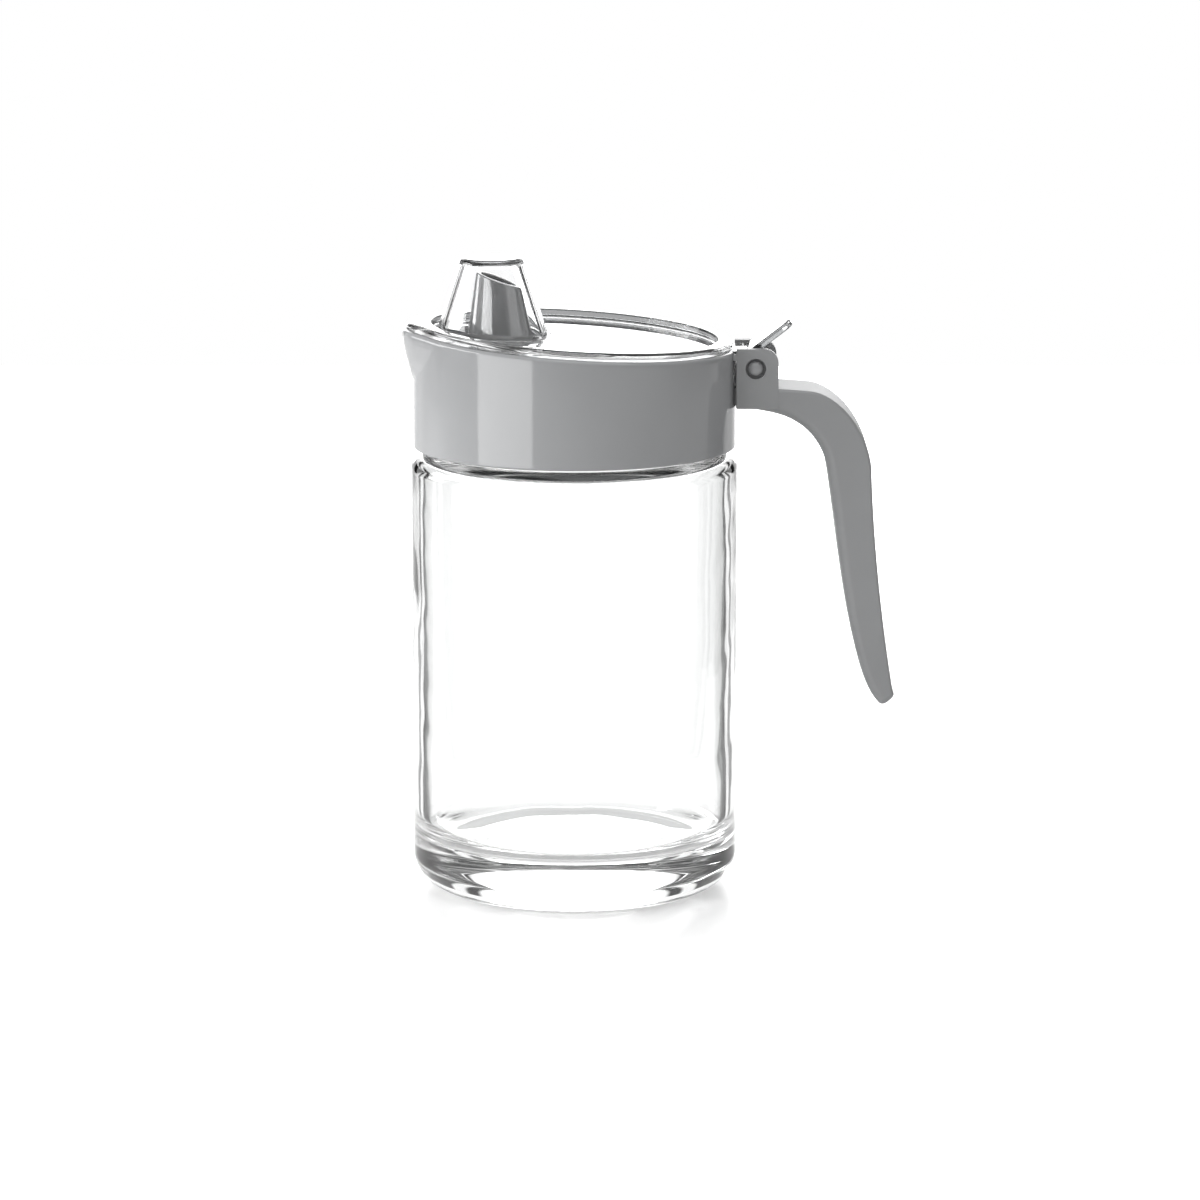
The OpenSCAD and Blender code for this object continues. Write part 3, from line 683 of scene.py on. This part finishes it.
def makeLid():
    d = lidSize
    r, s = head["collarR"] - d["inset"], head["lipR"] - d["inset"]
    soft, gap, edge, high, fold = d["soft"], d["gap"], d["edge"], d["borderH"], d["recessFold"]

    def circle(radius, z):
        return [inLidPlane(radius * cos(a), radius * sin(a), z) for a in around(head["points"])]

    def outline(inset, z):
        return [inLidPlane(x, y, z) for x, y in lipped(r - inset, s - inset)]

    rings = [circle(d["dishR"] - soft * (1 - sin(a)), -d["panel"] + soft * (1 - cos(a))) for a in quarter(5)]
    rings += [circle(d["dishR"], gap), outline(d["footEdge"], gap), outline(0, gap + d["footEdge"])]
    rings += [outline(edge * (1 - cos(a)), high - edge * (1 - sin(a))) for a in quarter(10)]
    rings += [circle(d["recessR"] + soft * (1 - sin(a)), high - soft * (1 - cos(a))) for a in quarter(5)]
    rings += [circle(d["recessR"] - fold * (1 - cos(a)), fold * (1 - sin(a))) for a in quarter(5)]
    lid = ringed("clearLid", rings)

    slope = (d["capBaseR"] - d["capTopR"]) / (d["capTop"] - d["capFoot"])

    def capRing(above, grow):
        # ring of the cap's cone at a height above the slanted panel, found by going back and forth
        out = []
        for a in around(d["capPoints"]):
            x = -d["capX"]
            for _ in range(12):
                z = rimAt(x) + above
                radius = d["capBaseR"] - slope * (z - d["capFoot"]) + grow
                x = -d["capX"] + radius * cos(a)
            out.append((x, radius * sin(a), z))
        return out

    def capLevel(radius, z):
        return [(-d["capX"] + radius * cos(a), radius * sin(a), z) for a in around(d["capPoints"])]

    f, e, topR = d["fillet"], d["capEdge"], d["capTopR"]
    rings = [capRing(-d["capSink"], f * (1 - sin(radians(80))))]
    rings += [capRing(f * (1 - cos(radians(a))), f * (1 - sin(radians(a)))) for a in d["filletTurns"]]
    shoulder = capLevel(topR + slope * e, d["capTop"] - e)
    rings += between(rings[-1], shoulder, 8) + [shoulder]
    for a in quarter(6, 1):
        radius = topR + slope * e * (1 - a / (pi / 2)) - e * (1 - cos(a))
        rings.append(capLevel(radius, d["capTop"] - e * (1 - sin(a))))
    carve(lid, ringed("cap", rings), "UNION")

    half, knuckleR = head["leverW"] / 2, head["knuckleR"]
    carve(lid, block("neck", (d["recessR"] + d["neckInto"], -half, d["neckLow"]),
                     (head["pinX"], half, d["neckUp"])), "UNION")
    carve(lid, rod("knuckle", knuckleR, (-half, half), atPin), "UNION")
    # the thumb lever lies flat first and is then tipped up round the pin
    leverTop = knuckleR - d["leverDown"]
    lever = block("lever", (0, -half, leverTop - d["leverT"]), (d["leverL"], half, leverTop))
    pick(lever)
    bpy.ops.object.mode_set(mode="EDIT")
    chooseEdges(lever, lambda a, b: min(a.x, b.x) > 1 and abs(a.z - b.z) > 1)
    bpy.ops.mesh.bevel(offset=d["leverCorner"] * mm, segments=8, profile=0.5, affect="EDGES")
    chooseEdges(lever, lambda a, b: max(a.x, b.x) > 1 and abs(a.z - b.z) < 0.001)
    bpy.ops.mesh.bevel(offset=d["leverEdge"] * mm, segments=4, profile=0.5, affect="EDGES")
    letGo()
    lever.rotation_euler = (0, -radians(d["rise"]), 0)
    lever.location = (head["pinX"] * mm, 0, head["pinZ"] * mm)
    settled(lever)
    carve(lid, lever, "UNION")

    low, ceiling = d["capFoot"] - 3 * d["panel"], d["capTop"] - d["capTopT"]
    hollow = turned("hollow", rounded([
        (0, low, 0), (d["capBaseR"] - d["capWall"] + slope * (d["capFoot"] - low), low, 0),
        (topR - d["capWall"] + slope * d["capTopT"], ceiling, d["capInner"]), (0, ceiling, 0)]),
        (-d["capX"], 0), d["capPoints"])
    carve(lid, hollow)
    carve(lid, rod("pinBore", d["pinBore"], (-half - 1, half + 1), atPin, steps=96))
    finished(lid, "lid", "lid", clear, 38)

    def getsPaintedGrey(face):
        # faces of the recess wall, of the cap's rounded top edge and of the lever's rounded edges, which get
        # the painted grey of the parts below
        x, y, z = face.center / mm
        fromAxis, fromCap = sqrt(x * x + y * y), sqrt((x + d["capX"]) ** 2 + y * y)
        steep, above = abs(face.normal.z) < d["steep"], z - rimAt(x)
        corners = [lid.data.vertices[i].co for i in face.vertices]
        width = min((a - b).length for a, b in zip(corners, corners[1:] + corners[:1])) / mm
        wall = abs(fromAxis - d["recessR"]) < d["wallNear"] and steep and 0 < above < high
        capRound = z > d["capTop"] - e and fromCap > topR - e and face.normal.z < d["flat"]
        leverRound = x > head["pinX"] + 1 and z > head["pinZ"] + 4 and width < d["thin"]
        return wall or capRound or leverRound

    # a second material paints the grey of the parts below onto these faces
    lid.data.materials.append(paintedGreyRim)
    for face in lid.data.polygons:
        if getsPaintedGrey(face):
            face.material_index = 1


makeLid()


# handle, pin, retainer and screws

handleSize = {
    "reach": 43.7, "drop": 91.1, "armW": 21.3, "grip": 3, "edge": 1, "gripShare": 0.45, "edgeShare": 0.3,
    "perCurve": 26, "tip": 1.6, "tipTurn": 84, "room": 0.1, "softEdge": 0.25,
    "earBack": 57.25, "earUp": 2.9, "earR": 5.55, "corner": 3.885,
    "tabX": (42.5, 47.0), "tabLow": 3.2, "tabHigh": 1.6,
    "pinR": 1.52, "recessR": 2.9, "headRecess": 2.2, "clipRecess": 1.35,
    "screwR": 1.42, "screwHole": (20, 53.9), "bodyCut": (126, 180), "pinHole": 12,
    # three curves of four points on either side of the arm, each as shares of its reach and its drop
    "outer": [(0.034, 0.000), (0.172, 0.000), (0.309, 0.003), (0.446, 0.009),
              (0.641, 0.018), (0.826, 0.134), (0.849, 0.249),
              (0.867, 0.485), (0.922, 0.727), (1.000, 0.952)],
    "inner": [(0.034, 0.063), (0.172, 0.075), (0.277, 0.080), (0.364, 0.108),
              (0.460, 0.134), (0.545, 0.189), (0.565, 0.255),
              (0.634, 0.441), (0.712, 0.902), (0.908, 0.990)],
}


def makeHandle():
    h = handleSize
    rootX, rootTop = head["rootX"], head["rootTop"]

    def along(points, u):
        k = min(int(u), 2)
        t = u - k
        a, b, c, e = [Vector(p) for p in points[3 * k:3 * k + 4]]
        p = a * (1 - t) ** 3 + b * 3 * (1 - t) ** 2 * t + c * 3 * (1 - t) * t * t + e * t ** 3
        return Vector((rootX + p.x * h["reach"], rootTop - p.y * h["drop"]))

    def section(inner, outer, inset):
        # a ring across the arm, with its four corners rounded
        deep = (outer - inner).length
        out = (outer - inner) / deep
        w = h["armW"] / 2 - inset
        r, e = min(h["grip"], deep * h["gripShare"]), min(h["edge"], deep * h["edgeShare"])
        ring = []
        for x, y, c, start in ((r, -w + r, r, 180), (deep - e, -w + e, e, 270),
                               (deep - e, w - e, e, 360), (r, w - r, r, 450)):
            for i in range(9):
                a = radians(start + 90 * i / 8)
                p = inner + out * (x + c * cos(a))
                ring.append((p.x, y + c * sin(a), p.y))
        return ring

    shares = [k / h["perCurve"] for k in range(3 * h["perCurve"] + 1)]
    rings = [section(along(h["inner"], u), along(h["outer"], u), 0) for u in shares]
    inner, outer = along(h["inner"], 3), along(h["outer"], 3)
    across = (outer - inner).normalized()
    ahead = Vector((across.y, -across.x))
    for k in range(1, 9):  # rounded tip
        a = radians(h["tipTurn"] * k / 8)
        gone = h["tip"] * (1 - cos(a))
        step, shift = ahead * (h["tip"] * sin(a)), across * gone
        rings.append(section(inner + shift + step, outer - shift + step, gone))
    handle = ringed("sideHandle", rings)
    low, top = rootTop - head["rootH"], head["pinZ"] + h["earR"]
    carve(handle, block("root", (rootX - 1, -head["earOut"], low),
                        (h["earBack"], head["earOut"], rootTop)), "UNION")
    for side in (-1, 1):
        ys = sorted((side * head["earIn"], side * head["earOut"]))
        ear = block("ear", (rootX - 1, ys[0], low + h["earUp"]), (h["earBack"], ys[1], top))
        pick(ear)
        bpy.ops.object.mode_set(mode="EDIT")
        chooseEdges(ear, lambda a, b: min(a.x, b.x) > h["earBack"] - 1 and min(a.z, b.z) > top - 1)
        bpy.ops.mesh.bevel(offset=h["corner"] * mm, segments=16, profile=0.5, affect="EDGES")
        letGo()
        carve(handle, ear, "UNION")
        carve(handle, block("tab", (h["tabX"][0], ys[0], top - h["tabLow"]),
                            (h["tabX"][1], ys[1], top - h["tabHigh"])), "UNION")
    carve(handle, rod("body", head["collarR"] + h["room"], h["bodyCut"], (0, 0), "Z", head["points"]))
    carve(handle, rod("pinHole", h["pinR"], (-h["pinHole"], h["pinHole"]), atPin, steps=96))
    for side, deep in ((-1, h["headRecess"]), (1, h["clipRecess"])):
        ys = sorted((side * (head["earOut"] - deep), side * h["pinHole"]))
        carve(handle, rod("recess", h["recessR"], ys, atPin))
        at = (side * head["screwPitch"] / 2, head["screwZ"])
        carve(handle, rod("screwHole", h["screwR"], h["screwHole"], at, "X", 48))
    softened(handle, h["softEdge"], 50, 3)
    finished(handle, "head", "handle", handleGrey)


pinSize = {
    "headR": 2.1, "ballR": 2.52, "headFrom": 1.7, "headT": 2.2, "r": 1.5, "length": 19.85, "tipRound": 0.25,
}


def makePin():
    p = pinSize
    dome = []
    for k in range(13):
        r = p["headR"] * k / 12
        dome.append((r, p["ballR"] - sqrt(p["ballR"] ** 2 - r ** 2)))
    profile = dome + rounded([
        (p["headR"], p["headFrom"], 0), (p["headR"], p["headT"], 0), (p["r"], p["headT"], 0),
        (p["r"], p["length"], p["tipRound"]), (0, p["length"], 0)], turns=5)
    pin = turned("hingePin", profile, steps=96)
    pin.rotation_euler = (-pi / 2, 0, 0)
    pin.location = (head["pinX"] * mm, -head["earOut"] * mm, head["pinZ"] * mm)
    settled(pin)
    finished(pin, "head", "hinge_pin", pinGrey, 40)


clipSize = {
    "bore": 1.52, "r": 2.8, "t": 0.54, "round": 0.1, "y": 9.45,
    "slots": 6, "slotFrom": 1.2, "slotTo": 2.1, "slotW": 0.28,
}


def makeRetainer():
    c = clipSize
    ring = turned("pinClip", rounded([
        (c["bore"], 0, 0), (c["r"], 0, c["round"]), (c["r"], c["t"], c["round"]), (c["bore"], c["t"], 0)],
        turns=3) + [(c["bore"], 0)], steps=96)
    for k in range(c["slots"]):
        slot = block("slot", (c["slotFrom"], -c["slotW"] / 2, -0.5), (c["slotTo"], c["slotW"] / 2, 1))
        slot.rotation_euler = (0, 0, 2 * pi / c["slots"] * k)
        settled(slot)
        carve(ring, slot)
    ring.rotation_euler = (-pi / 2, 0, 0)
    ring.location = (head["pinX"] * mm, c["y"] * mm, head["pinZ"] * mm)
    settled(ring)
    finished(ring, "head", "pin_retainer", steel, 40)


screwSize = {
    "r": 1.4, "length": 11, "pointFrom": 10, "pointR": 0.5, "headR": 2.4, "headT": 1.6, "under": 0.15,
    "dome": 0.9, "crossL": 2.8, "crossW": 0.56, "crossDeep": 0.9,
}


def makeScrews():
    s = screwSize
    halfL, halfW, half = s["crossL"] / 2, s["crossW"] / 2, head["screwPitch"] / 2
    screw = turned("rootScrews", rounded([
        (0, s["length"], 0), (s["pointR"], s["length"], 0), (s["r"], s["pointFrom"], 0), (s["r"], 0, 0),
        (s["headR"], 0, s["under"]), (s["headR"], -s["headT"], s["dome"]), (0, -s["headT"], 0)]), steps=64)
    for turn in (0, pi / 2):
        cross = block("cross", (-halfL, -halfW, -2), (halfL, halfW, s["crossDeep"] - s["headT"]))
        cross.rotation_euler = (0, 0, turn)
        settled(cross)
        carve(screw, cross)
    screw.rotation_euler = (0, pi / 2, 0)
    screw.location = (head["seat"] * mm, -half * mm, head["screwZ"] * mm)
    settled(screw)
    pick(screw)
    bpy.ops.object.duplicate()
    twin = bpy.context.object
    twin.location = (0, 2 * half * mm, 0)
    settled(twin)
    screw.select_set(True)
    bpy.context.view_layer.objects.active = screw
    bpy.ops.object.join()
    finished(screw, "head", "handle_screws", steel, 40)


makeHandle()
makePin()
makeRetainer()
makeScrews()


# camera, floor and light

view = {"x": 7.24, "y": -1500, "height": 372.6, "pitch": 10.97, "lens": 161.13, "sensor": 36, "nearest": 50}
camera = bpy.data.objects.new("camera", bpy.data.cameras.new("camera"))
bpy.context.collection.objects.link(camera)
camera.location = (view["x"] * mm, view["y"] * mm, view["height"] * mm)
camera.rotation_euler = (radians(90 - view["pitch"]), 0, 0)
camera.data.lens = view["lens"]
camera.data.sensor_width = view["sensor"]
camera.data.clip_start = view["nearest"] * mm
bpy.context.scene.camera = camera
bpy.context.scene.view_settings.view_transform = "Standard"
bpy.context.scene.cycles.max_bounces = 20  # thick glass turns the light many times
bpy.context.scene.cycles.glossy_bounces = 16
bpy.context.scene.cycles.transmission_bounces = 18

light = {
    "world": 0.56, "overhead": 0.95,
    "floor": 0.82, "floorRoughness": 0.32, "floorBend": 1.4, "floorGlow": 0.22, "floorSize": 2.0,
    "floorFade": (0.3, 0.6),  # where the floor's fade to white begins and ends, in metres from the jar
    # brightness of the room by the angle from the backdrop's middle, in degrees, on either side:
    # what glossy faces mirror, and what is seen through the glass between its dark flags
    "mirrored": [(0, 1.0), (25, 1.0), (27, 0.03), (33, 0.03), (35, 1.0), (42, 1.0), (45, 0.05), (70, 0.06),
                 (80, 0.35), (180, 0.3)],
    "through": [(0, 1.1), (25, 1.1), (26.5, 0.03), (30.5, 0.03), (32, 1.0), (37, 1.0), (38.5, 0.04),
                (54, 0.06), (57, 0.9), (90, 0.95), (180, 0.95)],
    # the same further up, where the spout's slanted sides mirror it inside the clear cap
    "throughHigh": [(0, 1.1), (25, 1.1), (26.5, 0.03), (30.5, 0.03), (32, 1.0), (37, 1.0), (38.5, 0.04),
                    (54, 0.06), (57, 0.25), (90, 0.25), (98, 1.0), (134, 1.0), (142, 0.2), (180, 0.2)],
    "highFrom": (0.08, 0.16), "ceilingFrom": (0.5, 0.68),  # where both begin: the sine of the angle up
    "aside": 0.044,  # how far to a side of the jar's axis the flags on the floor begin, in metres
    # the shadow below the jar as seen through its base, by the distance from its axis in millimetres
    "contactReach": 100,
    "contact": [(0, 1.0), (25, 1.0), (31, 0.5), (44, 0.45), (56, 1.0), (100, 1.0)],
    "front": {"turn": -49, "lift": 5, "far": 0.62, "size": (0.47, 0.30), "power": 1.75},
    "left": {"turn": -112, "lift": 9, "far": 0.9, "size": (0.3, 0.34), "power": 1.4},
    "side": {"turn": -88, "lift": 20, "far": 0.9, "size": (0.6, 0.17), "power": 3.2},
    "back": {"turn": 180, "lift": 12, "far": 1.2, "size": (0.9, 0.6), "power": 5.4},
    "top": {"turn": 20, "lift": 75, "far": 0.95, "size": (0.8, 0.8), "power": 2.6},
}


def greyRamp(nodes, links, value, stops, whole):
    # a grey ramp with its stops given in the units of the whole
    ramp = nodes.new("ShaderNodeValToRGB")
    elements = ramp.color_ramp.elements
    while len(elements) < len(stops):
        elements.new(0.5)
    for stop, (place, bright) in zip(elements, stops):
        stop.position = place / whole
        stop.color = (bright, bright, bright, 1)
    links.new(value, ramp.inputs["Fac"])
    return ramp.outputs["Color"]


def byAngle(nodes, links, part, room, aside=0.0):
    # a ramp by the angle to either side, from straight behind the object to straight in front
    across = mathNode(nodes, links, "ABSOLUTE", part.outputs["X"])
    across = mathNode(nodes, links, "MAXIMUM", mathNode(nodes, links, "SUBTRACT", across, aside), 0.0)
    turn = mathNode(nodes, links, "ARCTAN2", across, part.outputs["Y"])
    share = mathNode(nodes, links, "DIVIDE", turn, pi)
    return greyRamp(nodes, links, share, room, 180)


def makeWorld():
    world = bpy.data.worlds.new("studio")
    bpy.context.scene.world = world
    world.use_nodes = True
    nodes, links = world.node_tree.nodes, world.node_tree.links
    path = nodes.new("ShaderNodeLightPath")
    place = nodes.new("ShaderNodeTexCoord")
    part = nodes.new("ShaderNodeSeparateXYZ")
    links.new(place.outputs["Generated"], part.inputs["Vector"])

    def upFrom(low, high):
        step = nodes.new("ShaderNodeMapRange")
        step.inputs["From Min"].default_value = low
        step.inputs["From Max"].default_value = high
        links.new(part.outputs["Z"], step.inputs["Value"])
        return step.outputs["Result"]

    mirrored = byAngle(nodes, links, part, light["mirrored"])
    level, high = [byAngle(nodes, links, part, light[room]) for room in ("through", "throughHigh")]
    through = mixNode(nodes, links, upFrom(*light["highFrom"]), level, high)
    ceiling = upFrom(*light["ceilingFrom"])
    shown = light["world"]
    for ray, walls in (("Is Glossy Ray", mirrored), ("Is Transmission Ray", through)):
        walls = mixNode(nodes, links, ceiling, walls, light["overhead"])
        shown = mixNode(nodes, links, path.outputs[ray], shown, walls)
    shown = mixNode(nodes, links, path.outputs["Is Camera Ray"], shown, 1)
    links.new(shown, nodes["Background"].inputs["Color"])


def makeFloor():
    letGo()
    bpy.ops.mesh.primitive_plane_add(size=light["floorSize"])
    floorPlane = bpy.context.object
    floorPlane.name = "floor"
    mat, nodes, links, shader = newMaterial("floorWhite")
    shader.inputs["Base Color"].default_value = (light["floor"],) * 3 + (1,)
    shader.inputs["Roughness"].default_value = light["floorRoughness"]
    shader.inputs["IOR"].default_value = light["floorBend"]
    shader.inputs["Emission Color"].default_value = (1, 1, 1, 1)
    # the floor looks white to the camera and keeps its shadow
    path = nodes.new("ShaderNodeLightPath")
    seen = mathNode(nodes, links, "MAXIMUM", path.outputs["Is Camera Ray"], path.outputs["Is Glossy Ray"])
    glowNear = mathNode(nodes, links, "MULTIPLY", seen, light["floorGlow"])
    # and far from the object it fades into the white room
    place = nodes.new("ShaderNodeTexCoord")
    reach = nodes.new("ShaderNodeVectorMath")
    reach.operation = "LENGTH"
    links.new(place.outputs["Object"], reach.inputs[0])
    fade = nodes.new("ShaderNodeMapRange")
    fade.interpolation_type = "SMOOTHSTEP"
    fade.inputs["From Min"].default_value, fade.inputs["From Max"].default_value = light["floorFade"]
    links.new(reach.outputs["Value"], fade.inputs["Value"])
    glowFar = mathNode(nodes, links, "MULTIPLY", path.outputs["Is Camera Ray"], fade.outputs["Result"])
    links.new(mathNode(nodes, links, "ADD", glowNear, glowFar), shader.inputs["Emission Strength"])
    # through the glass it goes on like the room, with the same flags
    part = nodes.new("ShaderNodeSeparateXYZ")
    links.new(place.outputs["Object"], part.inputs["Vector"])
    flags = byAngle(nodes, links, part, light["through"], light["aside"])
    share = mathNode(nodes, links, "DIVIDE", reach.outputs["Value"], light["contactReach"] * mm)
    shade = greyRamp(nodes, links, share, light["contact"], light["contactReach"])
    both = nodes.new("ShaderNodeMix")
    both.data_type = "RGBA"
    both.blend_type = "MULTIPLY"
    both.inputs["Factor"].default_value = 1
    links.new(flags, both.inputs["A"])
    links.new(shade, both.inputs["B"])
    glow = nodes.new("ShaderNodeEmission")
    links.new(both.outputs["Result"], glow.inputs["Color"])
    either = nodes.new("ShaderNodeMixShader")
    links.new(path.outputs["Is Transmission Ray"], either.inputs["Fac"])
    links.new(shader.outputs["BSDF"], either.inputs[1])
    links.new(glow.outputs["Emission"], either.inputs[2])
    links.new(either.outputs["Shader"], nodes["Material Output"].inputs["Surface"])
    floorPlane.data.materials.append(mat)


def softbox(name):
    s = light[name]
    lamp = bpy.data.lights.new(name, "AREA")
    lamp.shape = "RECTANGLE"
    lamp.size, lamp.size_y = s["size"]
    lamp.energy = s["power"]
    box = bpy.data.objects.new(name, lamp)
    bpy.context.collection.objects.link(box)
    turn, lift = radians(s["turn"]), radians(s["lift"])
    aim = Vector((0, 0, 0.1))
    way = Vector((sin(turn) * cos(lift), -cos(turn) * cos(lift), sin(lift)))
    box.location = aim + way * s["far"]
    box.rotation_euler = (-way).to_track_quat("-Z", "Y").to_euler()


makeWorld()
makeFloor()
for name in ("front", "left", "side", "back", "top"):
    softbox(name)
print("camera, floor and light ready")

letGo()
